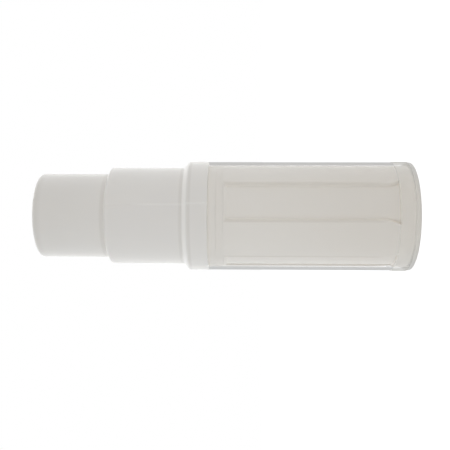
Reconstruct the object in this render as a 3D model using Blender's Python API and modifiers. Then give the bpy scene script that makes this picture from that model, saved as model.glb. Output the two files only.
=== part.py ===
"""Saliva ejector tip for a chairside low-volume suction valve.

The tip stands on its rear face with its axis on +Z. The rear socket pushes onto the valve's spout and
the nozzle at the top takes the disposable straw. The nozzle pulls off the core tube, which gives
access to the debris screen in the core tube's mouth. A clear sleeve covers the core tube's four
raised pads, between the nozzle's collar and the end ring.

Units are metres. The origin is the centre of the rear face.
"""

import math

import bmesh
import bpy
from mathutils import Matrix

MM = 0.001

# Driving dimensions, measured from the rear face at z = 0.
TIP_LENGTH = 48.55 * MM
SPIGOT_RADIUS = 5.50 * MM
BARREL_RADIUS = 6.325 * MM
COLLAR_RADIUS = 7.15 * MM
SLEEVE_RADIUS = 7.085 * MM
SPOUT_RADIUS = 4.75 * MM
STRAW_RADIUS = 3.15 * MM

FIT = 0.05 * MM  # gap between two pieces that touch on the real tip
EDGE = 0.10 * MM  # the small chamfer that breaks a moulded edge

# Stations along the axis.
RING_TOP = 2.56 * MM
SLEEVE_BOTTOM = RING_TOP + FIT
LANDS_BOTTOM = 2.35 * MM
FLARE_TOP = 4.65 * MM
PADS_TOP = 24.36 * MM
LANDS_TOP = PADS_TOP + FIT
FLANGE_BOTTOM = 25.34 * MM
COLLAR_BOTTOM = 26.33 * MM
FLANGE_TOP = COLLAR_BOTTOM - FIT
SHOULDER_BOTTOM = 28.80 * MM
SHOULDER_TOP = 29.58 * MM
CORE_TOP = 31.00 * MM
STEP_BOTTOM = 39.05 * MM
STEP_TOP = 39.48 * MM

# End ring.
LIP_TOP = 0.55 * MM
LIP_ROUND = 0.40 * MM
LIP_INSET = 0.07 * MM  # how far the lip stands in from the ring above it
RIM_GROOVE_HEIGHT = 0.60 * MM
RIM_GROOVE_DEPTH = 0.15 * MM
RIM_GROOVE_HALF_WIDTH = 0.08 * MM

# Core tube.
CORE_BOTTOM = LIP_TOP + 2 * FIT
PAD_RADIUS = 6.62 * MM
LAND_RADIUS = 6.25 * MM
SOCKET_RADIUS = SPOUT_RADIUS + 2 * FIT
SOCKET_DEPTH = 15.00 * MM
FLOW_RADIUS = 3.60 * MM
CORE_SPIGOT_RADIUS = SPIGOT_RADIUS
NOZZLE_SEAL_GROOVE_HALF_HEIGHT = 0.42 * MM
SCREEN_BORE_RADIUS = 4.35 * MM
SCREEN_BORE_BOTTOM = 26.90 * MM
SCREEN_SEAT_RADIUS = 4.78 * MM
SCREEN_SEAT_DEPTH = 0.50 * MM
GLAND_RADIUS = 5.75 * MM
GLAND_HALF_HEIGHT = 0.55 * MM
SEAL_GROOVE_RADIUS = 6.00 * MM
PADS = 4
LAND_ANGLE = math.radians(40.5)  # the pads between the lands are a little wider
LAND_TURN = math.radians(4.2)  # from each axis to the middle of a land
FLARE_ANGLE = math.radians(11.0)  # how much wider a land is at its rear end

# O-rings: the radius of the section, the radius of the circle that it follows, and its height.
NOZZLE_SEAL = (0.31 * MM, 5.24 * MM, 28.60 * MM)
SPOUT_SEAL_SECTION = 0.45 * MM
REAR_SPOUT_SEAL = (SPOUT_SEAL_SECTION, SPOUT_RADIUS + SPOUT_SEAL_SECTION, 1.20 * MM)
FRONT_SPOUT_SEAL = (SPOUT_SEAL_SECTION, SPOUT_RADIUS + SPOUT_SEAL_SECTION, 9.20 * MM)
SEAL_CLEARANCE = 0.07 * MM  # between an O-ring and the floor of its groove
FRONT_SEAL_HALF_HEIGHT = 0.43 * MM

# Nozzle.
NOZZLE_BORE_RADIUS = CORE_SPIGOT_RADIUS + 2 * FIT
NOZZLE_BORE_TOP = CORE_TOP + 0.25 * MM
CHAMBER_RADIUS = 4.90 * MM
CHAMBER_BOTTOM = CORE_TOP + 0.60 * MM
CHAMBER_TOP = 38.40 * MM
LEDGE_RADIUS = 3.50 * MM
LEDGE_BOTTOM = 39.30 * MM
LEDGE_TOP = 39.60 * MM
STRAW_BORE_RADIUS = 4.15 * MM
MOUTH_ROUND = 0.55 * MM
MOUTH_LEAD_IN_DEPTH = 0.40 * MM
MOUTH_LEAD_IN_WIDTH = 0.25 * MM

# Straw seal.
SEAL_BOTTOM = LEDGE_TOP + FIT
SEAL_TOP = TIP_LENGTH - 0.65 * MM
SEAL_BORE_RADIUS = STRAW_RADIUS + 0.20 * MM
SEAL_LIP_RADIUS = STRAW_RADIUS - 0.13 * MM
SEAL_LEAD_IN = 0.55 * MM
SEAL_LIPS = 3
SEAL_LIP_HALF_HEIGHT = 0.55 * MM

# Debris screen.
SCREEN_BOTTOM = 27.60 * MM
SCREEN_WALL = 0.40 * MM
SCREEN_HOLE_RADIUS = 0.45 * MM
SCREEN_HOLE_RINGS = ((1, 0.0), (6, 1.35 * MM), (12, 2.70 * MM))

FINE_SIDES = 48  # sides of the large turned pieces
SEAL_SIDES = 32
SECTION_SIDES = 8
HOLE_SIDES = 10
ARC_STEP = math.radians(45)  # of a rounded corner in an outline
SHARP_ANGLE = math.radians(35)  # an edge that turns more than this stays sharp
MERGE = 0.001 * MM  # points closer than this are one point


def clear_scene():
    for old in list(bpy.data.objects):
        bpy.data.objects.remove(old)


def new_collection(name):
    collection = bpy.data.collections.new(name)
    bpy.context.scene.collection.children.link(collection)
    return collection


def plastic(name, colour, roughness, metallic=0.0, transmission=0.0):
    """A Principled material of one colour."""
    material = bpy.data.materials.new(name)
    material.use_nodes = True
    shader = material.node_tree.nodes["Principled BSDF"]
    shader.inputs["Base Color"].default_value = (*colour, 1.0)
    shader.inputs["Roughness"].default_value = roughness
    shader.inputs["Metallic"].default_value = metallic
    shader.inputs["Transmission Weight"].default_value = transmission
    return material


def rounded(corners):
    """The outline through corners (radius, height), each rounded by its third number where it has one."""
    points = []
    for index, corner in enumerate(corners):
        here = complex(corner[0], corner[1])
        size = corner[2] if len(corner) > 2 else 0.0
        if size == 0.0:
            points.append(here)
            continue
        before = complex(*corners[index - 1][:2]) - here
        after = complex(*corners[(index + 1) % len(corners)][:2]) - here
        before /= abs(before)
        after /= abs(after)
        between = math.acos(max(-1.0, min(1.0, (before * after.conjugate()).real)))
        centre = here + (before + after) / abs(before + after) * size / math.sin(between / 2)
        start = here + before * size / math.tan(between / 2) - centre
        end = here + after * size / math.tan(between / 2) - centre
        turn = math.atan2((end / start).imag, (end / start).real)
        steps = max(1, round(abs(turn) / ARC_STEP))
        for step in range(steps + 1):
            angle = turn * step / steps
            points.append(centre + start * complex(math.cos(angle), math.sin(angle)))
    return [(point.real, point.imag) for point in points]


def signed_area(points):
    ends = points[1:] + points[:1]
    return sum(a[0] * b[1] - b[0] * a[1] for a, b in zip(points, ends)) / 2


def smooth(made):
    """Smooth shading that keeps the moulded edges sharp."""
    made.data.shade_smooth()
    made.data.set_sharp_from_angle(angle=SHARP_ANGLE)


def turned(name, outline, sides, collection, material, closed=True):
    """A solid of revolution about Z. An outline that isn't closed starts and ends on the axis."""
    if signed_area(outline) > 0:  # a Screw profile at +X has to run down its outer side
        outline = outline[::-1]
    mesh = bpy.data.meshes.new(name)
    count = len(outline)
    mesh.from_pydata(
        [(radius, 0.0, height) for radius, height in outline],
        [(index, (index + 1) % count) for index in range(count if closed else count - 1)],
        [],
    )
    made = bpy.data.objects.new(name, mesh)
    collection.objects.link(made)
    screw = made.modifiers.new("Turn", "SCREW")
    screw.axis = "Z"
    screw.angle = math.tau
    screw.steps = sides
    screw.render_steps = sides
    screw.use_merge_vertices = True
    screw.merge_threshold = MERGE
    bpy.context.view_layer.update()
    graph = bpy.context.evaluated_depsgraph_get()
    made.data = bpy.data.meshes.new_from_object(made.evaluated_get(graph))
    made.modifiers.clear()
    bpy.data.meshes.remove(mesh)
    made.data.name = name
    made.data.materials.append(material)
    smooth(made)
    return made


def seal_ring(name, seal, collection, material):
    """An O-ring from (section radius, centre radius, height)."""
    section, radius, height = seal
    bpy.ops.mesh.primitive_torus_add(
        location=(0.0, 0.0, height),
        major_radius=radius,
        minor_radius=section,
        major_segments=SEAL_SIDES,
        minor_segments=SECTION_SIDES,
    )
    ring = bpy.context.object
    ring.name = name
    for holder in list(ring.users_collection):
        holder.objects.unlink(ring)
    collection.objects.link(ring)
    ring.data.materials.append(material)
    smooth(ring)


def helper(made):
    """Marks an object as a cutter, which isn't part of the tip."""
    made.hide_render = True
    made.display_type = "WIRE"
    return made


def cut(made, cutter):
    modifier = made.modifiers.new("Cut " + cutter.name, "BOOLEAN")
    modifier.operation = "DIFFERENCE"
    modifier.solver = "EXACT"
    modifier.use_self = True
    modifier.object = cutter


def land_cutter(name, middle, collection):
    """A block that clears one land between two pads. The land ends in the end ring, where it flares."""
    steps = round(LAND_ANGLE / (math.tau / FINE_SIDES))
    angles = [middle + LAND_ANGLE * (step / steps - 0.5) for step in range(steps + 1)]
    rim = [(SLEEVE_RADIUS, angle) for angle in angles] + [(LAND_RADIUS, angle) for angle in reversed(angles)]
    curve = bpy.data.curves.new(name, "CURVE")
    curve.dimensions = "2D"
    curve.fill_mode = "BOTH"
    curve.extrude = (LANDS_TOP - LANDS_BOTTOM) / 2
    spline = curve.splines.new("POLY")
    spline.points.add(len(rim) - 1)
    for point, (radius, angle) in zip(spline.points, rim):
        point.co = (radius * math.cos(angle), radius * math.sin(angle), 0.0, 1.0)
    spline.use_cyclic_u = True
    outline = bpy.data.objects.new(name + " outline", curve)
    collection.objects.link(outline)
    outline.location.z = (LANDS_TOP + LANDS_BOTTOM) / 2
    bpy.context.view_layer.update()
    graph = bpy.context.evaluated_depsgraph_get()
    mesh = bpy.data.meshes.new_from_object(outline.evaluated_get(graph))
    shape = bmesh.new()
    shape.from_mesh(mesh)
    bmesh.ops.remove_doubles(shape, verts=shape.verts, dist=MERGE)
    flare_height = FLARE_TOP - outline.location.z
    everything = shape.verts[:] + shape.edges[:] + shape.faces[:]
    flare_plane = (0.0, 0.0, flare_height)
    bmesh.ops.bisect_plane(shape, geom=everything, plane_co=flare_plane, plane_no=(0.0, 0.0, 1.0))
    for vertex in shape.verts:
        if vertex.co.z < flare_height - FIT:
            offset = (math.atan2(vertex.co.y, vertex.co.x) - middle + math.pi) % math.tau - math.pi
            turn = Matrix.Rotation(offset * FLARE_ANGLE / LAND_ANGLE, 3, "Z")
            vertex.co = turn @ vertex.co
    bmesh.ops.triangulate(shape, faces=shape.faces)  # the flare twists its faces
    bmesh.ops.recalc_face_normals(shape, faces=shape.faces)
    shape.to_mesh(mesh)
    shape.free()
    cutter = bpy.data.objects.new(name, mesh)
    cutter.matrix_world = outline.matrix_world
    collection.objects.link(cutter)
    bpy.data.objects.remove(outline)
    return helper(cutter)


def screen_hole_cutter(collection):
    """All the holes of the debris screen's floor, as one cutter of separate pins."""
    shape = bmesh.new()
    for count, radius in SCREEN_HOLE_RINGS:
        for index in range(count):
            angle = math.tau * index / count
            pin = bmesh.ops.create_cone(
                shape,
                cap_ends=True,
                segments=HOLE_SIDES,
                radius1=SCREEN_HOLE_RADIUS,
                radius2=SCREEN_HOLE_RADIUS,
                depth=4 * SCREEN_WALL,
            )
            place = (radius * math.cos(angle), radius * math.sin(angle), 0.0)
            bmesh.ops.translate(shape, verts=pin["verts"], vec=place)
    mesh = bpy.data.meshes.new("screen_holes")
    shape.to_mesh(mesh)
    shape.free()
    cutter = bpy.data.objects.new("screen_holes", mesh)
    cutter.location.z = SCREEN_BOTTOM + SCREEN_WALL / 2
    collection.objects.link(cutter)
    return helper(cutter)


def make_end_ring(collection, material):
    """The ring that closes the rear. Its lip keeps the rear O-ring in the core tube's gland."""
    inner = PAD_RADIUS + 2 * FIT
    mouth = SOCKET_RADIUS + EDGE
    lip = COLLAR_RADIUS - LIP_INSET
    outline = rounded(
        [
            (COLLAR_RADIUS, RING_TOP, EDGE),
            (COLLAR_RADIUS, RIM_GROOVE_HEIGHT + RIM_GROOVE_HALF_WIDTH),
            (COLLAR_RADIUS - RIM_GROOVE_DEPTH, RIM_GROOVE_HEIGHT),
            (lip, RIM_GROOVE_HEIGHT - RIM_GROOVE_HALF_WIDTH),
            (lip, 0.0, LIP_ROUND),
            (mouth, 0.0, EDGE),
            (mouth, LIP_TOP),
            (inner, LIP_TOP),
            (inner, RING_TOP),
        ]
    )
    turned("end_ring", outline, FINE_SIDES, collection, material)


def make_core_tube(collection, cutters, material):
    """The rigid tube inside: socket, flow bore, four raised pads and the spigot for the nozzle."""
    groove_floor = NOZZLE_SEAL[1] - NOZZLE_SEAL[0] - SEAL_CLEARANCE
    groove_bottom = NOZZLE_SEAL[2] - NOZZLE_SEAL_GROOVE_HALF_HEIGHT
    groove_top = NOZZLE_SEAL[2] + NOZZLE_SEAL_GROOVE_HALF_HEIGHT
    rear_gland_top = REAR_SPOUT_SEAL[2] + GLAND_HALF_HEIGHT
    front_gland_bottom = FRONT_SPOUT_SEAL[2] - GLAND_HALF_HEIGHT
    front_gland_top = FRONT_SPOUT_SEAL[2] + GLAND_HALF_HEIGHT
    outline = rounded(
        [
            (CORE_SPIGOT_RADIUS, CORE_TOP, EDGE),
            (CORE_SPIGOT_RADIUS, groove_top),
            (groove_floor, groove_top),
            (groove_floor, groove_bottom),
            (CORE_SPIGOT_RADIUS, groove_bottom),
            (CORE_SPIGOT_RADIUS, FLANGE_TOP),
            (PAD_RADIUS, FLANGE_TOP),
            (PAD_RADIUS, FLANGE_BOTTOM),
            (SEAL_GROOVE_RADIUS, FLANGE_BOTTOM),
            (SEAL_GROOVE_RADIUS, PADS_TOP),
            (PAD_RADIUS, PADS_TOP),
            (PAD_RADIUS, CORE_BOTTOM, EDGE),
            (GLAND_RADIUS, CORE_BOTTOM),
            (GLAND_RADIUS, rear_gland_top),
            (SOCKET_RADIUS, rear_gland_top),
            (SOCKET_RADIUS, front_gland_bottom),
            (GLAND_RADIUS, front_gland_bottom),
            (GLAND_RADIUS, front_gland_top),
            (SOCKET_RADIUS, front_gland_top),
            (SOCKET_RADIUS, SOCKET_DEPTH),
            (FLOW_RADIUS, SOCKET_DEPTH),
            (FLOW_RADIUS, SCREEN_BORE_BOTTOM - (SCREEN_BORE_RADIUS - FLOW_RADIUS)),
            (SCREEN_BORE_RADIUS, SCREEN_BORE_BOTTOM),
            (SCREEN_BORE_RADIUS, CORE_TOP - SCREEN_SEAT_DEPTH),
            (SCREEN_SEAT_RADIUS, CORE_TOP - SCREEN_SEAT_DEPTH),
            (SCREEN_SEAT_RADIUS, CORE_TOP),
        ]
    )
    core = turned("core_tube", outline, FINE_SIDES, collection, material)
    for index in range(PADS):
        middle = math.tau * index / PADS + LAND_TURN
        cut(core, land_cutter(f"land_{index}", middle, cutters))


def make_window_sleeve(collection, material):
    """The clear sleeve between the end ring and the nozzle's collar."""
    inner = PAD_RADIUS + 2 * FIT
    outline = rounded(
        [
            (SLEEVE_RADIUS, FLANGE_TOP, EDGE),
            (SLEEVE_RADIUS, SLEEVE_BOTTOM, EDGE),
            (inner, SLEEVE_BOTTOM),
            (inner, FLANGE_TOP),
        ]
    )
    turned("window_sleeve", outline, FINE_SIDES, collection, material)


def make_front_seal_ring(collection, material):
    """The square-section ring between the core tube's flange and its pads, which seals the sleeve."""
    middle = (PADS_TOP + FLANGE_BOTTOM) / 2
    high = middle + FRONT_SEAL_HALF_HEIGHT
    low = middle - FRONT_SEAL_HALF_HEIGHT
    outline = rounded(
        [
            (PAD_RADIUS + FIT, high, 2 * EDGE),
            (PAD_RADIUS + FIT, low, 2 * EDGE),
            (SEAL_GROOVE_RADIUS + FIT, low),
            (SEAL_GROOVE_RADIUS + FIT, high),
        ]
    )
    turned("front_seal_ring", outline, FINE_SIDES, collection, material)


def make_nozzle(collection, material):
    """The front moulding: straw spigot, step, barrel, shoulder and collar."""
    outline = rounded(
        [
            (SPIGOT_RADIUS, TIP_LENGTH, MOUTH_ROUND),
            (SPIGOT_RADIUS, STEP_TOP),
            (BARREL_RADIUS, STEP_BOTTOM),
            (BARREL_RADIUS, SHOULDER_TOP, 2 * EDGE),
            (COLLAR_RADIUS, SHOULDER_BOTTOM, 3 * EDGE),
            (COLLAR_RADIUS, COLLAR_BOTTOM, EDGE),
            (NOZZLE_BORE_RADIUS, COLLAR_BOTTOM, EDGE),
            (NOZZLE_BORE_RADIUS, NOZZLE_BORE_TOP),
            (CHAMBER_RADIUS, CHAMBER_BOTTOM),
            (CHAMBER_RADIUS, CHAMBER_TOP),
            (LEDGE_RADIUS, LEDGE_BOTTOM),
            (LEDGE_RADIUS, LEDGE_TOP),
            (STRAW_BORE_RADIUS, LEDGE_TOP),
            (STRAW_BORE_RADIUS, TIP_LENGTH - MOUTH_LEAD_IN_DEPTH),
            (STRAW_BORE_RADIUS + MOUTH_LEAD_IN_WIDTH, TIP_LENGTH),
        ]
    )
    turned("nozzle", outline, FINE_SIDES, collection, material)


def make_straw_seal(collection, material):
    """The soft bush in the mouth, with lips that grip the straw."""
    outer = STRAW_BORE_RADIUS - FIT
    corners = [
        (outer, SEAL_TOP, EDGE),
        (outer, SEAL_BOTTOM),
        (SEAL_BORE_RADIUS, SEAL_BOTTOM),
    ]
    pitch = (SEAL_TOP - SEAL_BOTTOM) / SEAL_LIPS
    for lip in range(SEAL_LIPS):
        middle = SEAL_BOTTOM + (lip + 0.5) * pitch
        corners += [
            (SEAL_BORE_RADIUS, middle - SEAL_LIP_HALF_HEIGHT),
            (SEAL_LIP_RADIUS, middle - SEAL_LIP_HALF_HEIGHT / 3),
            (SEAL_LIP_RADIUS, middle + SEAL_LIP_HALF_HEIGHT / 3),
            (SEAL_BORE_RADIUS, middle + SEAL_LIP_HALF_HEIGHT),
        ]
    corners += [
        (SEAL_BORE_RADIUS, SEAL_TOP - SEAL_LEAD_IN),
        (SEAL_BORE_RADIUS + SEAL_LEAD_IN, SEAL_TOP),
    ]
    turned("straw_seal", rounded(corners), SEAL_SIDES, collection, material)


def make_debris_screen(collection, cutters, material):
    """The perforated cup that hangs by its rim in the core tube's mouth."""
    rim = SCREEN_SEAT_RADIUS - FIT
    outer = SCREEN_BORE_RADIUS - 2 * FIT
    rim_bottom = CORE_TOP - SCREEN_SEAT_DEPTH + FIT
    outline = [
        (0.0, SCREEN_BOTTOM + SCREEN_WALL),
        (outer - SCREEN_WALL, SCREEN_BOTTOM + SCREEN_WALL),
        (outer - SCREEN_WALL, CORE_TOP),
        (rim, CORE_TOP),
        (rim, rim_bottom),
        (outer, rim_bottom),
        (outer, SCREEN_BOTTOM + EDGE),
        (outer - EDGE, SCREEN_BOTTOM),
        (0.0, SCREEN_BOTTOM),
    ]
    screen = turned("debris_screen", outline, SEAL_SIDES, collection, material, closed=False)
    cut(screen, screen_hole_cutter(cutters))


def main():
    clear_scene()
    bpy.context.scene.unit_settings.system = "METRIC"
    parts = new_collection("saliva_ejector_tip")
    cutters = new_collection("cutters")
    white = plastic("white_plastic", (0.86, 0.86, 0.84), 0.38)
    core_white = plastic("core_plastic", (0.85, 0.84, 0.82), 0.45)
    clear = plastic("clear_plastic", (0.97, 0.98, 0.96), 0.08, transmission=0.9)
    natural = plastic("natural_plastic", (0.84, 0.84, 0.80), 0.30)
    silicone = plastic("silicone", (0.80, 0.80, 0.78), 0.60)
    rubber = plastic("rubber", (0.06, 0.06, 0.06), 0.55)
    steel = plastic("stainless_steel", (0.62, 0.62, 0.63), 0.32, metallic=1.0)
    make_end_ring(parts, natural)
    make_core_tube(parts, cutters, core_white)
    make_window_sleeve(parts, clear)
    make_front_seal_ring(parts, silicone)
    make_nozzle(parts, white)
    make_straw_seal(parts, silicone)
    make_debris_screen(parts, cutters, steel)
    seal_ring("nozzle_o_ring", NOZZLE_SEAL, parts, rubber)
    seal_ring("spout_o_ring_rear", REAR_SPOUT_SEAL, parts, rubber)
    seal_ring("spout_o_ring_front", FRONT_SPOUT_SEAL, parts, rubber)


main()
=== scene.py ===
"""Looks of the saliva ejector tip: fine surfaces, materials, camera and soft white studio.

Lengths are in metres. Every piece but the debris screen is turned about the tip's axis, which is +Z, and
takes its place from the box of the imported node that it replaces. Pieces that touch have TOUCH between them.
"""

import math

import bmesh
import bpy
from mathutils import Matrix, Vector


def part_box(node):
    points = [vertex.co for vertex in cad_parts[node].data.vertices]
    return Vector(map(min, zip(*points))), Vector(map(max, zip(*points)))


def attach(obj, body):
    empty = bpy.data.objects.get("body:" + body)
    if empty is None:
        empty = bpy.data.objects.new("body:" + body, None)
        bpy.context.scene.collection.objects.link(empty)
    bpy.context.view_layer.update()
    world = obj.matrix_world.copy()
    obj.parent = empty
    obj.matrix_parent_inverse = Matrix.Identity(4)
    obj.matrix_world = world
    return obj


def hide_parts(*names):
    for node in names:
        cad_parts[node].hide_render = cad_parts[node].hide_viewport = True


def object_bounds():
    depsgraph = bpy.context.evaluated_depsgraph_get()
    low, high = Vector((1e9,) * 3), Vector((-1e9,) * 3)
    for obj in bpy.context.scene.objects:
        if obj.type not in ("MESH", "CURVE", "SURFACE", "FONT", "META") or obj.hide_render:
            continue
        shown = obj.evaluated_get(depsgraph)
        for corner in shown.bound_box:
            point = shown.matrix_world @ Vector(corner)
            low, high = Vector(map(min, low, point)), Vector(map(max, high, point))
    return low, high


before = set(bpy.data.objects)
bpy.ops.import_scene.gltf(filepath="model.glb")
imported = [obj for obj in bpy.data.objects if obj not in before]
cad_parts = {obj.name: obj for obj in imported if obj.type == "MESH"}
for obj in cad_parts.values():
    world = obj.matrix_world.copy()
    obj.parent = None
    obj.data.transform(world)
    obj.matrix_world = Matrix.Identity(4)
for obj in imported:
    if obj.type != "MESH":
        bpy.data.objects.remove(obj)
cad_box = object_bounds()

MM = 0.001
TOUCH = 0.005 * MM  # between faces that butt against each other
CLOSE_FIT = 0.05 * MM  # between faces that slide or are pressed together
SLEEVE_FIT = 0.10 * MM  # between the core tube's pads and what is round them
SHARP = 0.015 * MM  # rounding of the edges where the visible joints are
CRISP = 0.05 * MM
SOFT = 0.08 * MM
SIDES = 180  # angular divisions of a turned piece
ARC_STEP = math.radians(15)
SMOOTH_UP_TO = math.radians(40)  # a sharper edge is shaded as an edge
MARGIN = 0.01 * MM  # for comparing sizes


def low(node):
    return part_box(node)[0].z


def high(node):
    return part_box(node)[1].z


def mid_height(node):
    return (low(node) + high(node)) / 2


def radius(node):
    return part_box(node)[1].x


COLLAR_BOTTOM = low("nozzle")
SHOULDER_BOTTOM = COLLAR_BOTTOM + 2.47 * MM
SHOULDER_TOP = SHOULDER_BOTTOM + 0.78 * MM
SHOULDER_MIDDLE = (SHOULDER_BOTTOM + SHOULDER_TOP) / 2
STEP_TOP = high("nozzle") - 9.07 * MM
STEP_BOTTOM = STEP_TOP - 0.43 * MM

# The core tube's pads, and the lands between them.
PADS = 4
PAD_R = radius("front_seal_ring") - CLOSE_FIT
PADS_TOP = low("front_seal_ring") - TOUCH
LANDS_BOTTOM = high("end_ring") - 0.21 * MM
FLARE_LENGTH = 2.60 * MM
LAND_ANGLE = math.radians(40.5)  # the pads between the lands are a little wider
LAND_TURN = math.radians(4.2)  # from each axis to the middle of a land


# ---------------------------------------------------------------- outlines and meshes


def rounded(corners):
    """The outline through corners (radius, height), each rounded by its third number where it has one."""
    points = []
    for index, corner in enumerate(corners):
        here = complex(corner[0], corner[1])
        size = corner[2] if len(corner) > 2 else 0.0
        if size == 0.0:
            points.append(here)
            continue
        before = complex(*corners[index - 1][:2]) - here
        after = complex(*corners[(index + 1) % len(corners)][:2]) - here
        before /= abs(before)
        after /= abs(after)
        between = math.acos(max(-1.0, min(1.0, (before * after.conjugate()).real)))
        centre = here + (before + after) / abs(before + after) * size / math.sin(between / 2)
        start = here + before * size / math.tan(between / 2) - centre
        end = here + after * size / math.tan(between / 2) - centre
        turn = math.atan2((end / start).imag, (end / start).real)
        steps = max(2, round(abs(turn) / ARC_STEP))
        for step in range(steps + 1):
            angle = turn * step / steps
            points.append(centre + start * complex(math.cos(angle), math.sin(angle)))
    return [(point.real, point.imag) for point in points]


def subdivided(outline, longest):
    """The same closed outline with extra points, so that no stretch is longer than this."""
    points = []
    for a, b in zip(outline, outline[1:] + outline[:1]):
        count = max(1, math.ceil(math.dist(a, b) / longest))
        for step in range(count):
            points.append((a[0] + (b[0] - a[0]) * step / count, a[1] + (b[1] - a[1]) * step / count))
    return points


def turn_between(angle, other):
    """How far the first angle is ahead of the other, from -pi to pi."""
    return (angle - other + math.pi) % math.tau - math.pi


def even_angles(extra=()):
    """SIDES equal steps round the axis, with the extra angles in place of the steps close to them."""
    gap = math.tau / SIDES / 3
    kept = []
    for index in range(SIDES):
        angle = math.tau * index / SIDES
        if all(abs(turn_between(angle, other)) > gap for other in extra):
            kept.append(angle)
    return sorted(kept + [angle % math.tau for angle in extra])


def turned(name, outline, angles, material, shape=None):
    """A closed solid of revolution. shape(radius, height, angle) may move a point, as (radius, angle)."""
    mesh = bpy.data.meshes.new(name)
    made = bpy.data.objects.new(name, mesh)
    bpy.context.scene.collection.objects.link(made)
    work = bmesh.new()
    rings = []
    for angle in angles:
        ring = []
        for r, z in outline:
            r_here, angle_here = shape(r, z, angle) if shape else (r, angle)
            ring.append(work.verts.new((r_here * math.cos(angle_here), r_here * math.sin(angle_here), z)))
        rings.append(ring)
    for ring, following in zip(rings, rings[1:] + rings[:1]):
        for a, b, c, d in zip(ring, ring[1:] + ring[:1], following[1:] + following[:1], following):
            work.faces.new((a, b, c, d))
    bmesh.ops.recalc_face_normals(work, faces=work.faces)
    work.to_mesh(mesh)
    work.free()
    mesh.shade_smooth()
    mesh.set_sharp_from_angle(angle=SMOOTH_UP_TO)
    mesh.materials.append(material)
    return made


def smooth_step(value, start, end):
    t = max(0.0, min(1.0, (value - start) / (end - start)))
    return t * t * (3 - 2 * t)


# ---------------------------------------------------------------- nodes


class Nodes:
    """A short way to add and link the nodes of a tree."""

    def __init__(self, tree):
        self.tree = tree
        self.coordinates = self.add("ShaderNodeTexCoord").outputs
        self.place = self.coordinates["Object"]

    def add(self, kind, **values):
        node = self.tree.nodes.new(kind)
        for key, value in values.items():
            setattr(node, key, value)
        return node

    def link(self, output, socket):
        self.tree.links.new(output, socket)

    def feed(self, sockets, values):
        """Links or sets the sockets, by whether each value is an output or a constant."""
        for socket, value in zip(sockets, values):
            if isinstance(value, bpy.types.NodeSocket):
                self.link(value, socket)
            else:
                socket.default_value = value

    def scaled(self, scale):
        node = self.add("ShaderNodeMapping")
        self.link(self.place, node.inputs["Vector"])
        node.inputs["Scale"].default_value = scale
        return node.outputs["Vector"]

    def axes(self):
        node = self.add("ShaderNodeSeparateXYZ")
        self.link(self.place, node.inputs["Vector"])
        return node.outputs

    def noise(self, size, detail=3.0, roughness=0.5, stretch=(1.0, 1.0, 1.0), distortion=0.0):
        """Noise whose features are about this large, from 0 to 1."""
        node = self.add("ShaderNodeTexNoise")
        self.link(self.scaled([s / size for s in stretch]), node.inputs["Vector"])
        node.inputs["Scale"].default_value = 1.0
        node.inputs["Detail"].default_value = detail
        node.inputs["Roughness"].default_value = roughness
        node.inputs["Distortion"].default_value = distortion
        return node.outputs["Fac"]

    def facing(self, normal=None):
        """0 where the eye looks along the normal, and 1 where it looks across it."""
        node = self.add("ShaderNodeLayerWeight")
        node.inputs["Blend"].default_value = 0.5
        if normal is not None:
            self.link(normal, node.inputs["Normal"])
        return node.outputs["Facing"]

    def spread(self, output, start, end, to_start, to_end, kind="LINEAR"):
        node = self.add("ShaderNodeMapRange", interpolation_type=kind)
        names = ("Value", "From Min", "From Max", "To Min", "To Max")
        self.feed([node.inputs[name] for name in names], (output, start, end, to_start, to_end))
        return node.outputs["Result"]

    def mix(self, factor, a, b):
        """Colour a where the factor is 0, and colour b where it is 1. Either may be an output."""
        node = self.add("ShaderNodeMix", data_type="RGBA")
        colours = [c if isinstance(c, bpy.types.NodeSocket) else (*c, 1.0) for c in (a, b)]
        self.feed((node.inputs["Factor"], node.inputs[6], node.inputs[7]), (factor, *colours))
        return node.outputs[2]

    def maths(self, operation, a, b=0.0):
        node = self.add("ShaderNodeMath", operation=operation)
        self.feed(node.inputs, (a, b))
        return node.outputs["Value"]

    def vector_maths(self, operation, *values, output="Vector"):
        node = self.add("ShaderNodeVectorMath", operation=operation)
        self.feed(node.inputs, values)
        return node.outputs[output]


class Material(Nodes):
    """A material, and what its main shader needs."""

    def __init__(self, name):
        self.material = bpy.data.materials.new(name)
        self.material.use_nodes = True
        super().__init__(self.material.node_tree)
        self.shader = self.tree.nodes["Principled BSDF"]

    def bump(self, height, distance):
        node = self.add("ShaderNodeBump")
        node.inputs["Distance"].default_value = distance
        node.inputs["Strength"].default_value = 1.0
        self.link(height, node.inputs["Height"])
        self.link(node.outputs["Normal"], self.shader.inputs["Normal"])

    def set(self, **values):
        """Links or sets the shader's inputs, by name."""
        sockets = [self.shader.inputs[key.replace("_", " ")] for key in values]
        self.feed(sockets, values.values())


# ---------------------------------------------------------------- materials

NOISE_LOW, NOISE_HIGH = 0.3, 0.7  # noise seldom goes beyond these

# Moulded plastic.
SCRATCHES_START, SCRATCHES_FULL = 0.62, 0.70
SCRATCH_ROUGHNESS = 0.12
SCRATCH_HEIGHT, GRAIN_HEIGHT = -0.4, 0.5  # shares of the bump
SUBSURFACE_TINT = (1.0, 0.95, 0.88)
SUBSURFACE_SCALE = 0.6 * MM
CEILING_FADE = 2 * MM  # height below its ceiling over which a tint fades out

# Painted shade just inside the pads' edges.
PAD_SHADE = (0.78, 0.73, 0.655)
PAD_SHADE_AMOUNT = 0.65
PAD_SHADE_PLACE = math.radians(1.6)  # from the edge to the middle of the band
PAD_SHADE_FULL, PAD_SHADE_NONE = math.radians(0.6), math.radians(2.8)  # from the middle of the band
PAD_SHADE_FADE = 0.3 * MM  # at the front end

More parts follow.
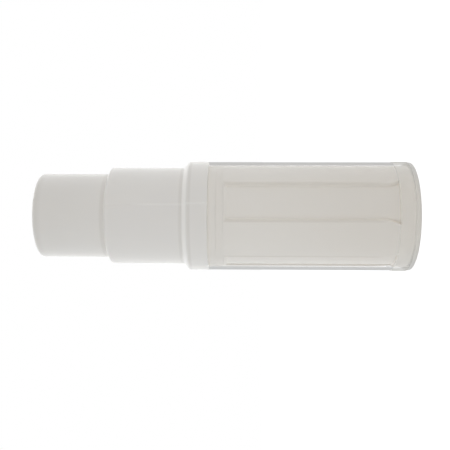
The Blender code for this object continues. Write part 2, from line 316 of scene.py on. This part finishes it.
# See-through plastic.
RUBS_START, RUBS_FULL = 0.60, 0.72
RUB_ROUGHNESS, RUB_ALPHA = 0.08, 0.015
HAZE_ROUGHNESS = 0.06
RIM_STARTS, RIM_FULL = 0.10, 0.60  # 0 is face on, and 1 edge on
# The wall's band goes by the cotangent of the angle round the axis, between the eye and the surface.
WALL_STARTS, WALL_FULL = 0.44, 0.28
LEAST = 0.001  # keeps the divisor above zero
SKIN = 0.02 * MM  # depth of the outermost skin, where the wall shows
SOLID_ALPHA = 0.97
SOLID_FADE = 0.15 * MM  # height over which a thick part thins out

# Rubber and steel.
BLOOM_STARTS = 0.35
RUBBER_GLOSS = (0.48, 0.66)
STEEL_GLOSS = (0.22, 0.40)
STEEL_COLOURS = ((0.60, 0.60, 0.61), (0.70, 0.69, 0.68))


def band(axis, centre, full, none, amount, colour, ceiling=None):
    """A band of painted shade, or of painted light where its colour is lighter, along an axis of the piece:
    this amount within full of the centre, and nothing beyond none.

    With a ceiling, it has faded out at that height.
    """

    def tint(m, axes, tone):
        away = m.maths("ABSOLUTE", m.maths("SUBTRACT", axes[axis], centre))
        share = m.spread(away, full, none, amount, 0.0, "SMOOTHSTEP")
        if ceiling is not None:
            share = m.maths("MULTIPLY", share, m.spread(axes["Z"], ceiling - CEILING_FADE, ceiling, 1.0, 0.0))
        return m.mix(share, tone, colour)

    return tint


def pad_edge_shade(m, axes, tone):
    """Painted shade in a narrow band just inside the pads' edges, as far down as they run straight."""
    angle = m.maths("ARCTAN2", axes["Y"], axes["X"])
    from_land = m.maths("PINGPONG", m.maths("SUBTRACT", angle, LAND_TURN), math.pi / PADS)
    away = m.maths("ABSOLUTE", m.maths("SUBTRACT", from_land, LAND_ANGLE / 2 + PAD_SHADE_PLACE))
    share = m.spread(away, PAD_SHADE_FULL, PAD_SHADE_NONE, PAD_SHADE_AMOUNT, 0.0, "SMOOTHSTEP")
    flare_top = LANDS_BOTTOM + FLARE_LENGTH
    straight = m.spread(axes["Z"], LANDS_BOTTOM + FLARE_LENGTH / 2, flare_top, 0.0, 1.0)
    below = m.spread(axes["Z"], PADS_TOP - PAD_SHADE_FADE, PADS_TOP, 1.0, 0.0)
    return m.mix(m.maths("MULTIPLY", share, m.maths("MULTIPLY", straight, below)), tone, PAD_SHADE)


def moulded(name, colours, gloss, subsurface, ior, painted_light_and_shade):
    """Injection-moulded plastic: soft flow marks in the colour, fine grain, hairline scratches, and the given
    bands of painted shade and painted light.
    """
    m = Material(name)
    flow = m.noise(5 * MM, detail=2.0, stretch=(1.0, 1.0, 0.3), distortion=0.6)
    grain = m.noise(0.25 * MM, detail=4.0, roughness=0.6)
    scratches = m.noise(0.9 * MM, detail=5.0, roughness=0.7, stretch=(1.0, 1.0, 0.08))
    lines = m.spread(scratches, SCRATCHES_START, SCRATCHES_FULL, 0.0, 1.0)
    tone = m.mix(m.spread(flow, NOISE_LOW, NOISE_HIGH, 0.0, 1.0), *colours)
    axes = m.axes()
    for tint in painted_light_and_shade:
        tone = tint(m, axes, tone)
    rough = m.spread(grain, NOISE_LOW, NOISE_HIGH, *gloss)
    rough = m.maths("ADD", rough, m.maths("MULTIPLY", lines, SCRATCH_ROUGHNESS))
    m.set(Base_Color=tone, Roughness=rough, IOR=ior)
    m.set(
        Subsurface_Weight=subsurface, Subsurface_Radius=SUBSURFACE_TINT, Subsurface_Scale=SUBSURFACE_SCALE
    )
    height = m.maths(
        "ADD", m.maths("MULTIPLY", grain, GRAIN_HEIGHT), m.maths("MULTIPLY", lines, SCRATCH_HEIGHT)
    )
    m.bump(height, distance=0.006 * MM)
    return m.material


def film(name, skin, clear, rim, wall_alpha, colours, wall_colour, rough, solid_below=None):
    """Thin see-through plastic, which hides little face on and more as its surface turns away.

    In the outermost band the eye looks along the wall, and sees the colour of the plastic's own depth,
    darkened further by painted shade for the darker surroundings that the wall refracts. That band is on the
    skin at this radius only, and not on the bore or the end faces.
    Under the height solid_below the moulding is thick, and hides what is behind it. Light passes freely.
    """
    m = Material(name)
    haze = m.noise(3 * MM, detail=3.0)
    rub = m.noise(0.7 * MM, detail=6.0, roughness=0.7, stretch=(1.0, 1.0, 0.1))
    marks = m.spread(rub, RUBS_START, RUBS_FULL, 0.0, 1.0)

    turned_away = m.facing()
    side = m.spread(turned_away, RIM_STARTS, RIM_FULL, 0.0, 1.0, "SMOOTHSTEP")
    across = m.scaled((1.0, 1.0, 0.0))
    tangent = m.vector_maths("NORMALIZE", m.vector_maths("CROSS_PRODUCT", (0.0, 0.0, 1.0), across))
    towards = m.maths("SUBTRACT", 1.0, turned_away)
    along = m.maths("MAXIMUM", m.maths("SUBTRACT", 1.0, m.facing(tangent)), LEAST)
    cotangent = m.maths("DIVIDE", towards, along)
    length = m.vector_maths("LENGTH", across, output="Value")
    outermost = m.spread(length, skin - SKIN, skin - SKIN / 2, 0.0, 1.0)
    wall = m.spread(cotangent, WALL_STARTS, WALL_FULL, 0.0, 1.0, "SMOOTHSTEP")
    wall = m.maths("MULTIPLY", wall, outermost)

    dense = m.maths("ADD", m.spread(side, 0.0, 1.0, clear, rim), m.maths("MULTIPLY", marks, RUB_ALPHA))
    dense = m.maths("MAXIMUM", dense, m.maths("MULTIPLY", wall, wall_alpha))
    if solid_below is not None:
        thick = m.spread(m.axes()["Z"], solid_below, solid_below + SOLID_FADE, SOLID_ALPHA, 0.0)
        dense = m.maths("MAXIMUM", dense, thick)
    roughness = m.spread(haze, NOISE_LOW, NOISE_HIGH, rough, rough + HAZE_ROUGHNESS)
    roughness = m.maths("ADD", roughness, m.maths("MULTIPLY", marks, RUB_ROUGHNESS))
    # The colour turns to wall_colour as the surface turns away: partly the plastic's depth, partly painted
    # shade.
    m.set(Base_Color=m.mix(side, m.mix(haze, *colours), wall_colour), Roughness=roughness, Alpha=dense)
    m.set(IOR=1.49, Specular_IOR_Level=0.0)
    m.bump(rub, distance=0.002 * MM)

    seen = m.add("ShaderNodeLightPath").outputs["Is Camera Ray"]
    passed = m.add("ShaderNodeBsdfTransparent").outputs["BSDF"]
    blend = m.add("ShaderNodeMixShader")
    m.feed(blend.inputs, (seen, passed, m.shader.outputs["BSDF"]))
    m.link(blend.outputs["Shader"], m.tree.nodes["Material Output"].inputs["Surface"])
    return m.material


def rubber(name, colour, shade):
    """Moulded elastomer: matt, with a fine bloom."""
    m = Material(name)
    bloom = m.noise(0.6 * MM, detail=4.0)
    grain = m.noise(0.08 * MM, detail=3.0)
    m.set(Base_Color=m.mix(m.spread(bloom, BLOOM_STARTS, NOISE_HIGH, 0.0, 1.0), colour, shade))
    m.set(Roughness=m.spread(bloom, NOISE_LOW, NOISE_HIGH, *RUBBER_GLOSS), IOR=1.42)
    m.bump(grain, distance=0.004 * MM)
    return m.material


def pressed_steel():
    """Bright stainless sheet, lightly brushed round the cup."""
    m = Material("stainless_steel")
    brush = m.noise(0.5 * MM, detail=5.0, stretch=(0.15, 0.15, 3.0))
    stain = m.noise(2 * MM, detail=3.0)
    m.set(Base_Color=m.mix(stain, *STEEL_COLOURS))
    m.set(Roughness=m.spread(brush, NOISE_LOW, NOISE_HIGH, *STEEL_GLOSS), Metallic=1.0)
    m.bump(brush, distance=0.003 * MM)
    return m.material


# SHADED is the colour of the painted shade on the white plastic.
SHADED = (0.80, 0.775, 0.73)
white_plastic = moulded(
    "white_plastic",
    colours=((0.885, 0.86, 0.815), (0.87, 0.845, 0.805)),
    gloss=(0.34, 0.44),
    subsurface=0.25,
    ior=1.46,
    painted_light_and_shade=(
        # Painted shade towards the mouth, and more so at its rounded edge.
        band("Z", high("nozzle"), 1.0 * MM, 14.0 * MM, 0.62, SHADED),
        band("Z", high("nozzle"), 0.45 * MM, 1.3 * MM, 0.8, (0.76, 0.735, 0.69)),
        # Painted shade at the foot of the step, and on each side of the shoulder.
        band("Z", STEP_TOP + 0.20 * MM, 0.15 * MM, 0.40 * MM, 0.9, SHADED),
        band("Z", SHOULDER_MIDDLE + 0.55 * MM, 0.08 * MM, 0.30 * MM, 0.8, SHADED),
        band("Z", SHOULDER_MIDDLE - 0.52 * MM, 0.10 * MM, 0.38 * MM, 0.9, SHADED),
        # Painted highlights on the shoulder, and along the parting lines.
        band("Z", SHOULDER_MIDDLE + 0.04 * MM, 0.10 * MM, 0.34 * MM, 0.95, (0.97, 0.945, 0.895)),
        band("X", 0.0, 0.08 * MM, 0.20 * MM, 0.32, (0.97, 0.95, 0.91), STEP_TOP - 3.5 * MM),
    ),
)
core_plastic = moulded(
    "core_plastic",
    colours=((0.93, 0.89, 0.825), (0.915, 0.875, 0.81)),
    gloss=(0.52, 0.62),
    subsurface=0.15,
    ior=1.38,
    painted_light_and_shade=(
        # Painted shade towards the rear, painted light on the flange under the collar against the collar's
        # shadow, and painted shade inside the pads' edges.
        band("Z", low("core_tube"), 2.0 * MM, 22.0 * MM, 0.9, (0.865, 0.82, 0.75)),
        band("Z", COLLAR_BOTTOM, 0.10 * MM, 0.90 * MM, 0.7, (0.96, 0.92, 0.855)),
        pad_edge_shade,
    ),
)
natural_plastic = film(
    "natural_plastic",
    skin=radius("end_ring"),
    clear=0.14,
    rim=0.22,
    wall_alpha=0.70,
    colours=((0.90, 0.87, 0.80), (0.885, 0.855, 0.785)),
    wall_colour=(0.84, 0.825, 0.785),
    rough=0.22,
    solid_below=low("end_ring") + 0.60 * MM,
)
window_plastic = film(
    "clear_plastic",
    skin=radius("window_sleeve"),
    clear=0.03,
    rim=0.07,
    wall_alpha=0.97,
    colours=((0.97, 0.955, 0.92), (0.96, 0.945, 0.905)),
    wall_colour=(0.83, 0.82, 0.795),
    rough=0.10,
)
silicone = rubber("silicone", (0.90, 0.86, 0.795), (0.885, 0.845, 0.78))
black_rubber = rubber("rubber", (0.035, 0.035, 0.036), (0.060, 0.060, 0.058))
steel = pressed_steel()


# ---------------------------------------------------------------- nozzle

SPIGOT_R = 5.50 * MM
BARREL_R = 6.325 * MM
CORE_TOP = high("core_tube")
LEDGE_TOP = low("straw_seal") - CLOSE_FIT  # of the ledge that the straw seal stands on
LEDGE_THICKNESS = 0.30 * MM
LEDGE_R = 3.50 * MM  # of the hole through it
NOZZLE_BORE_R = 5.60 * MM
NOZZLE_BORE_TOP = CORE_TOP + 0.25 * MM
MIDDLE_BORE_R = 4.90 * MM
MIDDLE_BORE_BOTTOM = CORE_TOP + 0.60 * MM
MIDDLE_BORE_TOP = LEDGE_TOP - 1.20 * MM
STRAW_BORE_R = radius("straw_seal") + CLOSE_FIT
MOUTH_ROUND = 0.55 * MM
MOUTH_BEVEL_DEPTH = 0.40 * MM
MOUTH_BEVEL_WIDTH = 0.25 * MM
COLLAR_ROUND = 0.35 * MM
RELIEF_LENGTH = 0.45 * MM  # of the shallow reliefs above the step and above the shoulder
STEP_RELIEF = 0.05 * MM
SHOULDER_RELIEF = 0.03 * MM
SEAM_ANGLES = (-math.pi / 2, math.pi / 2)  # the mould's parting lines run along -Y and +Y
SEAM_HEIGHT = 0.030 * MM
SEAM_HALF_WIDTH = 0.10 * MM


def seam_shape(inside):
    """Raises the parting lines on the outside of a piece whose bore is no wider than inside."""

    def shape(r, z, angle):
        if r <= inside:
            return r, angle
        distance = min(abs(turn_between(angle, seam)) for seam in SEAM_ANGLES) * r
        return r + SEAM_HEIGHT * (1 - smooth_step(distance, 0.0, SEAM_HALF_WIDTH)), angle

    return shape


def seam_angles(at_radius):
    offsets = [SEAM_HALF_WIDTH / at_radius * share for share in (-1.0, -0.5, 0.0, 0.5, 1.0)]
    return even_angles([seam + offset for seam in SEAM_ANGLES for offset in offsets])


def make_nozzle():
    outer = radius("nozzle") - SEAM_HEIGHT
    top = high("nozzle")
    outside = [
        (SPIGOT_R, top, MOUTH_ROUND),
        (SPIGOT_R, STEP_TOP + RELIEF_LENGTH, 0.20 * MM),
        (SPIGOT_R - STEP_RELIEF, STEP_TOP, 0.10 * MM),
        (BARREL_R, STEP_BOTTOM, 0.22 * MM),
        (BARREL_R, SHOULDER_TOP + RELIEF_LENGTH, 0.20 * MM),
        (BARREL_R - SHOULDER_RELIEF, SHOULDER_TOP + 0.02 * MM, 0.16 * MM),
        (outer, SHOULDER_BOTTOM, COLLAR_ROUND),
        (outer, COLLAR_BOTTOM, SHARP),
    ]
    bores = [
        (NOZZLE_BORE_R, COLLAR_BOTTOM, 0.12 * MM),
        (NOZZLE_BORE_R, NOZZLE_BORE_TOP),
        (MIDDLE_BORE_R, MIDDLE_BORE_BOTTOM, 0.10 * MM),
        (MIDDLE_BORE_R, MIDDLE_BORE_TOP, 0.30 * MM),
        (LEDGE_R, LEDGE_TOP - LEDGE_THICKNESS, CRISP),
        (LEDGE_R, LEDGE_TOP),
        (STRAW_BORE_R, LEDGE_TOP),
        (STRAW_BORE_R, top - MOUTH_BEVEL_DEPTH),
        (STRAW_BORE_R + MOUTH_BEVEL_WIDTH, top, SOFT),
    ]
    shape = seam_shape(NOZZLE_BORE_R + 2 * MARGIN)
    piece = turned("nozzle_body", rounded(outside + bores), seam_angles(BARREL_R), white_plastic, shape)
    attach(piece, "nozzle")
    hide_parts("nozzle")


make_nozzle()


# ---------------------------------------------------------------- straw seal

STRAW_SEAL_BORE_R = 3.35 * MM
LIPS = 3
LIP_R = 3.02 * MM
LIP_HALF_HEIGHT = 0.55 * MM
STRAW_LEAD_IN = 0.45 * MM


def make_straw_seal():
    outer = radius("straw_seal")
    bottom, top = low("straw_seal"), high("straw_seal")
    bore = STRAW_SEAL_BORE_R
    corners = [(outer, top, 0.12 * MM), (outer, bottom, SOFT), (bore, bottom, SOFT)]
    pitch = (top - bottom) / LIPS
    for index in range(LIPS):
        middle = bottom + (index + 0.5) * pitch
        corners += [
            (bore, middle - LIP_HALF_HEIGHT, 0.10 * MM),
            (LIP_R, middle, 0.14 * MM),
            (bore, middle + LIP_HALF_HEIGHT, 0.10 * MM),
        ]
    corners += [(bore, top - STRAW_LEAD_IN, 0.10 * MM), (bore + STRAW_LEAD_IN, top, 0.10 * MM)]
    piece = turned("straw_bush", rounded(corners), even_angles(), silicone)
    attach(piece, "nozzle")
    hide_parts("straw_seal")


make_straw_seal()


# ---------------------------------------------------------------- core tube

CORE_SPIGOT_R = 5.50 * MM
NOZZLE_GROOVE_R = 4.86 * MM
NOZZLE_GROOVE_HALF = 0.42 * MM  # of its height
SEAL_GROOVE_R = 6.00 * MM
SOCKET_R = 4.85 * MM
SOCKET_TOP = 15.0 * MM
GLAND_R = 5.75 * MM
GLAND_HALF = 0.55 * MM
FLOW_BORE_R = 3.60 * MM
FLOW_BORE_TOP = 26.15 * MM
CUP_BORE_R = 4.35 * MM
CUP_BORE_BOTTOM = 26.90 * MM
CUP_RIM_R = 4.78 * MM
CUP_RIM_DEPTH = 0.50 * MM

PAD_SKIN = 0.2 * MM  # depth of the outline's outermost points, which the lands may move
LAND_DEPTH = 0.37 * MM
CREASE_DEPTH = 0.04 * MM  # of the crease where a pad's sloping edge meets the land
CREASE_GROWS = 4.0  # times, towards the rear end
CREASE_ANGLE = math.radians(2.0)  # half the width of the crease at its foot
CREASE_PLACE = math.radians(0.7)  # from the edge to the crease
EDGE_ANGLE = math.radians(1.2)  # half the width of a pad's sloping edge
FLARE_ANGLE = math.radians(5.5)  # how far a pad's corner draws in at its rear end
END_SLOPE = 0.12 * MM  # length of the slope that ends a land at the rear
TOP_SLOPE = 0.60 * MM  # and at the front
TOP_SLOPE_STEPS = 5
LONGEST = 0.6 * MM  # stretch of the core tube's outline
EDGE_STEP = math.radians(0.3)  # between the extra angles at each edge
EDGE_STEPS = range(-12, 6)
# The pads' eight edges, as (angle of the edge, which way the pad lies from it).
PAD_EDGES = [
    (LAND_TURN + math.tau * index / PADS + side * LAND_ANGLE / 2, side)
    for index in range(PADS)
    for side in (-1, 1)
]


def core_shape(r, z, angle):
    """Sinks the lands between the pads, and bends the pads' edges inwards at the rear."""
    if r < PAD_R - PAD_SKIN or z > PADS_TOP + MARGIN or z < LANDS_BOTTOM - MARGIN:
        return r, angle
    edge, side = min(PAD_EDGES, key=lambda item: abs(turn_between(angle, item[0])))
    offset = turn_between(angle, edge) * side
    height = smooth_step(offset, -EDGE_ANGLE, EDGE_ANGLE)
    crease = smooth_step(1 - abs(offset + CREASE_PLACE) / CREASE_ANGLE, 0.0, 1.0)
    near = max(0.0, 1 - abs(offset) / (LAND_ANGLE / 2))
    rise = max(0.0, 1 - (z - LANDS_BOTTOM) / FLARE_LENGTH)
    bend = FLARE_ANGLE * rise * rise * near
    rear_end = smooth_step(z, LANDS_BOTTOM, LANDS_BOTTOM + END_SLOPE)
    front_end = smooth_step(-z, -PADS_TOP, TOP_SLOPE - PADS_TOP)
    sink = LAND_DEPTH * (1 - height) + CREASE_DEPTH * (1 + CREASE_GROWS * rise) * crease
    return r - sink * (rear_end * front_end), angle + side * bend


def groove(wall, floor, start, end, floor_round):
    """The four corners of a groove in the surface of radius wall, in the order of the outline."""
    return [(wall, start, SOFT), (floor, start, floor_round), (floor, end, floor_round), (wall, end, SOFT)]


def make_core_tube():
    top, bottom = CORE_TOP, low("core_tube")
    seal_z = mid_height("nozzle_o_ring")
    flange_low = high("front_seal_ring") + TOUCH
    flange_high = COLLAR_BOTTOM - TOUCH
    front_z = mid_height("spout_o_ring_front")
    rear_top = mid_height("spout_o_ring_rear") + GLAND_HALF
    outside = [
        (CORE_SPIGOT_R, top, 0.15 * MM),
        *groove(
            CORE_SPIGOT_R, NOZZLE_GROOVE_R, seal_z + NOZZLE_GROOVE_HALF, seal_z - NOZZLE_GROOVE_HALF, SOFT
        ),
        (CORE_SPIGOT_R, flange_high, SOFT),
        (PAD_R, flange_high, SHARP),
        (PAD_R, flange_low, SHARP),
        (SEAL_GROOVE_R, flange_low, CRISP),
        (SEAL_GROOVE_R, PADS_TOP, CRISP),
        (PAD_R, PADS_TOP, 0.02 * MM),
        *((PAD_R, PADS_TOP - TOP_SLOPE * (step + 1) / TOP_SLOPE_STEPS) for step in range(TOP_SLOPE_STEPS)),
        (PAD_R, LANDS_BOTTOM + END_SLOPE),
        (PAD_R, LANDS_BOTTOM + END_SLOPE / 2),
        (PAD_R, LANDS_BOTTOM),
        (PAD_R, bottom, 0.10 * MM),
    ]
    bores = [
        (GLAND_R, bottom, CRISP),
        (GLAND_R, rear_top, CRISP),
        (SOCKET_R, rear_top, SOFT),
        *groove(SOCKET_R, GLAND_R, front_z - GLAND_HALF, front_z + GLAND_HALF, CRISP),
        (SOCKET_R, SOCKET_TOP, CRISP),
        (FLOW_BORE_R, SOCKET_TOP, 0.15 * MM),
        (FLOW_BORE_R, FLOW_BORE_TOP, 0.10 * MM),
        (CUP_BORE_R, CUP_BORE_BOTTOM, 0.10 * MM),
        (CUP_BORE_R, top - CUP_RIM_DEPTH, 0.03 * MM),
        (CUP_RIM_R, top - CUP_RIM_DEPTH, 0.03 * MM),
        (CUP_RIM_R, top, CRISP),
    ]
    outline = subdivided(rounded(outside + bores), LONGEST)
    angles = even_angles([edge + EDGE_STEP * step for edge, _ in PAD_EDGES for step in EDGE_STEPS])
    piece = turned("core_body", outline, angles, core_plastic, core_shape)
    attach(piece, "core")
    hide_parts("core_tube")


make_core_tube()


# ---------------------------------------------------------------- sleeve, end ring and seals

SLEEVE_BORE_R = PAD_R + SLEEVE_FIT
RING_MOUTH_R = 4.95 * MM
RING_FLOOR = 0.55 * MM  # thickness of the ring's wall under the core tube
RING_LIP_IN = 0.07 * MM  # how far the lip stands back from the ring's side
LIP_ROUND = 0.40 * MM
RIM_GROOVE_Z = 0.60 * MM
RIM_GROOVE_HALF = 0.08 * MM  # of its height
RIM_GROOVE_DEPTH = 0.14 * MM


def make_sleeve():
    outer = radius("window_sleeve")
    bottom, top = high("end_ring") + TOUCH, COLLAR_BOTTOM - TOUCH
    corners = [(outer, top), (outer, bottom), (SLEEVE_BORE_R, bottom), (SLEEVE_BORE_R, top)]
    outline = rounded([(*corner, SHARP) for corner in corners])
    piece = turned("clear_sleeve", outline, even_angles(), window_plastic)
    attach(piece, "core")
    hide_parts("window_sleeve")


make_sleeve()


def make_end_ring():
    outer = radius("end_ring")
    top = high("end_ring")
    lip = outer - RING_LIP_IN
    outline = rounded(
        [
            (outer, top, SHARP),
            (outer, RIM_GROOVE_Z + RIM_GROOVE_HALF, CRISP),
            (outer - RIM_GROOVE_DEPTH, RIM_GROOVE_Z, 0.03 * MM),
            (lip, RIM_GROOVE_Z - RIM_GROOVE_HALF, CRISP),
            (lip, 0.0, LIP_ROUND),
            (RING_MOUTH_R, 0.0, 0.12 * MM),
            (RING_MOUTH_R, RING_FLOOR, CRISP),
            (SLEEVE_BORE_R, RING_FLOOR, CRISP),
            (SLEEVE_BORE_R, top, CRISP),
        ]
    )
    piece = turned("rear_ring", outline, even_angles(), natural_plastic)
    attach(piece, "core")
    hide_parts("end_ring")


make_end_ring()


def make_front_seal():
    inner = SEAL_GROOVE_R + CLOSE_FIT
    bottom, top = low("front_seal_ring"), high("front_seal_ring")
    outline = rounded(
        [
            (PAD_R, top, 0.02 * MM),
            (PAD_R, bottom, 0.02 * MM),
            (inner, bottom, 0.10 * MM),
            (inner, top, 0.10 * MM),
        ]
    )
    piece = turned("front_seal", outline, even_angles(), silicone)
    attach(piece, "core")
    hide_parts("front_seal_ring")


make_front_seal()

O_RING_STEPS = 28
O_RING_WIDTH = 0.965  # of the section, within its flash lines


def make_o_ring(node):
    """A round-section ring with the thin flash lines that its mould leaves."""
    middle = mid_height(node)
    section = (high(node) - low(node)) / 2
    centre = radius(node) - section
    outline = []
    for index in range(O_RING_STEPS):
        angle = -math.tau * index / O_RING_STEPS
        width = 1.0 if index % (O_RING_STEPS // 2) == 0 else O_RING_WIDTH
        outline.append((centre + section * width * math.cos(angle), middle + section * math.sin(angle)))
    piece = turned(node + "_fine", outline, even_angles(), black_rubber)
    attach(piece, "core")
    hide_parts(node)


for node in ("nozzle_o_ring", "spout_o_ring_rear", "spout_o_ring_front"):
    make_o_ring(node)


# ---------------------------------------------------------------- debris screen
# The CAD cup is fine enough as it is, and only takes a finer material.

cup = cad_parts["debris_screen"]
cup.data.materials.clear()
cup.data.materials.append(steel)


# ---------------------------------------------------------------- studio

VIEW_TURN = math.radians(11.9)  # the camera stands this far round from -Y, towards -X
VIEW_LEAN = math.radians(1.66)  # and this far towards the end ring
VIEW_DISTANCE = 96.5 * MM
VIEW_DROP = 1.21 * MM  # and this far below the axis, as the picture stands
VIEW_BACK = Vector((-math.sin(VIEW_TURN), -math.cos(VIEW_TURN), 0.0))
VIEW_UP = Vector((math.cos(VIEW_TURN), -math.sin(VIEW_TURN), 0.0))
VIEW_ROLL = math.radians(0.20)
LENS, SENSOR = 58.32, 36.0  # in the camera's own millimetres
NEAREST, FARTHEST = 5 * MM, 10.0  # that the camera sees

WHITE = (1.0, 1.0, 1.0)
TENT_FRONT = (0.615, 0.61, 0.61)
TENT_BEHIND = (0.80, 0.83, 0.87)
TENT_BELOW = (0.74, 0.77, 0.80)
TENT_REFLECTED = 1.8  # strength of the tent in reflections
# A side of the tent starts and is full where a direction points this far towards it, from -1 to 1.
BEHIND_STARTS, BEHIND_FULL = -0.5, 0.7
BELOW_STARTS, BELOW_FULL = -0.1, 1.0

FLOOR_R = 0.9
FLOOR_SIDES = 96
FLOOR_GREY = 0.35
FLOOR_GLOW = 0.40  # what the floor adds to its own diffuse light, for the tip
FLOOR_WHITE = 0.88  # and for the camera


def make_camera():
    """Picture right is -Z and picture up is near +X: the tip lies on its side, its spigot to the left."""
    back = (VIEW_BACK * math.cos(VIEW_LEAN) - Vector((0.0, 0.0, 1.0)) * math.sin(VIEW_LEAN)).normalized()
    up = Matrix.Rotation(VIEW_ROLL, 3, back) @ VIEW_UP
    right = up.cross(back)
    data = bpy.data.cameras.new("camera")
    data.lens = LENS
    data.sensor_width = SENSOR
    data.clip_start = NEAREST
    data.clip_end = FARTHEST
    camera = bpy.data.objects.new("camera", data)
    place = (cad_box[0] + cad_box[1]) / 2 + back * VIEW_DISTANCE - up * VIEW_DROP
    turn = Matrix((right, up, back)).transposed().to_4x4()
    camera.matrix_world = Matrix.Translation(place) @ turn
    bpy.context.scene.collection.objects.link(camera)
    bpy.context.scene.camera = camera


make_camera()


def make_floor():
    """A wide pale disc. What it shows stays white down to a trace of contact shadow."""
    place = (0.0, 0.0, low("end_ring") - TOUCH)
    bpy.ops.mesh.primitive_circle_add(
        vertices=FLOOR_SIDES, radius=FLOOR_R, fill_type="NGON", location=place
    )
    floor = bpy.context.object
    floor.name = "floor"
    m = Material("floor")
    seen = m.add("ShaderNodeLightPath")
    glow = m.spread(seen.outputs["Is Glossy Ray"], 0.0, 1.0, FLOOR_GLOW, TENT_REFLECTED)
    camera = m.maths("MULTIPLY", seen.outputs["Is Camera Ray"], FLOOR_WHITE - FLOOR_GLOW)
    m.set(Base_Color=(FLOOR_GREY, FLOOR_GREY, FLOOR_GREY, 1.0), Roughness=0.9, Specular_IOR_Level=0.0)
    m.set(Emission_Color=(*WHITE, 1.0), Emission_Strength=m.maths("ADD", glow, camera))
    floor.data.materials.append(m.material)


make_floor()


def make_world():
    """A soft white tent, a little brighter behind the tip and cooler below it, and white to the camera."""
    world = bpy.data.worlds.new("studio")
    bpy.context.scene.world = world
    world.use_nodes = True
    m = Nodes(world.node_tree)

    def towards(direction, start, end):
        dot = m.vector_maths("DOT_PRODUCT", m.coordinates["Generated"], direction, output="Value")
        return m.spread(dot, start, end, 0.0, 1.0, "SMOOTHSTEP")

    tent = m.mix(towards(-VIEW_BACK, BEHIND_STARTS, BEHIND_FULL), TENT_FRONT, TENT_BEHIND)
    tent = m.mix(towards(-VIEW_UP, BELOW_STARTS, BELOW_FULL), tent, TENT_BELOW)
    seen = m.add("ShaderNodeLightPath").outputs
    tent = m.mix(seen["Is Glossy Ray"], tent, (TENT_REFLECTED, TENT_REFLECTED, TENT_REFLECTED))
    tent = m.mix(seen["Is Camera Ray"], tent, WHITE)
    m.feed(m.tree.nodes["Background"].inputs, (tent, 1.0))


make_world()
bpy.context.scene.view_settings.view_transform = "Standard"
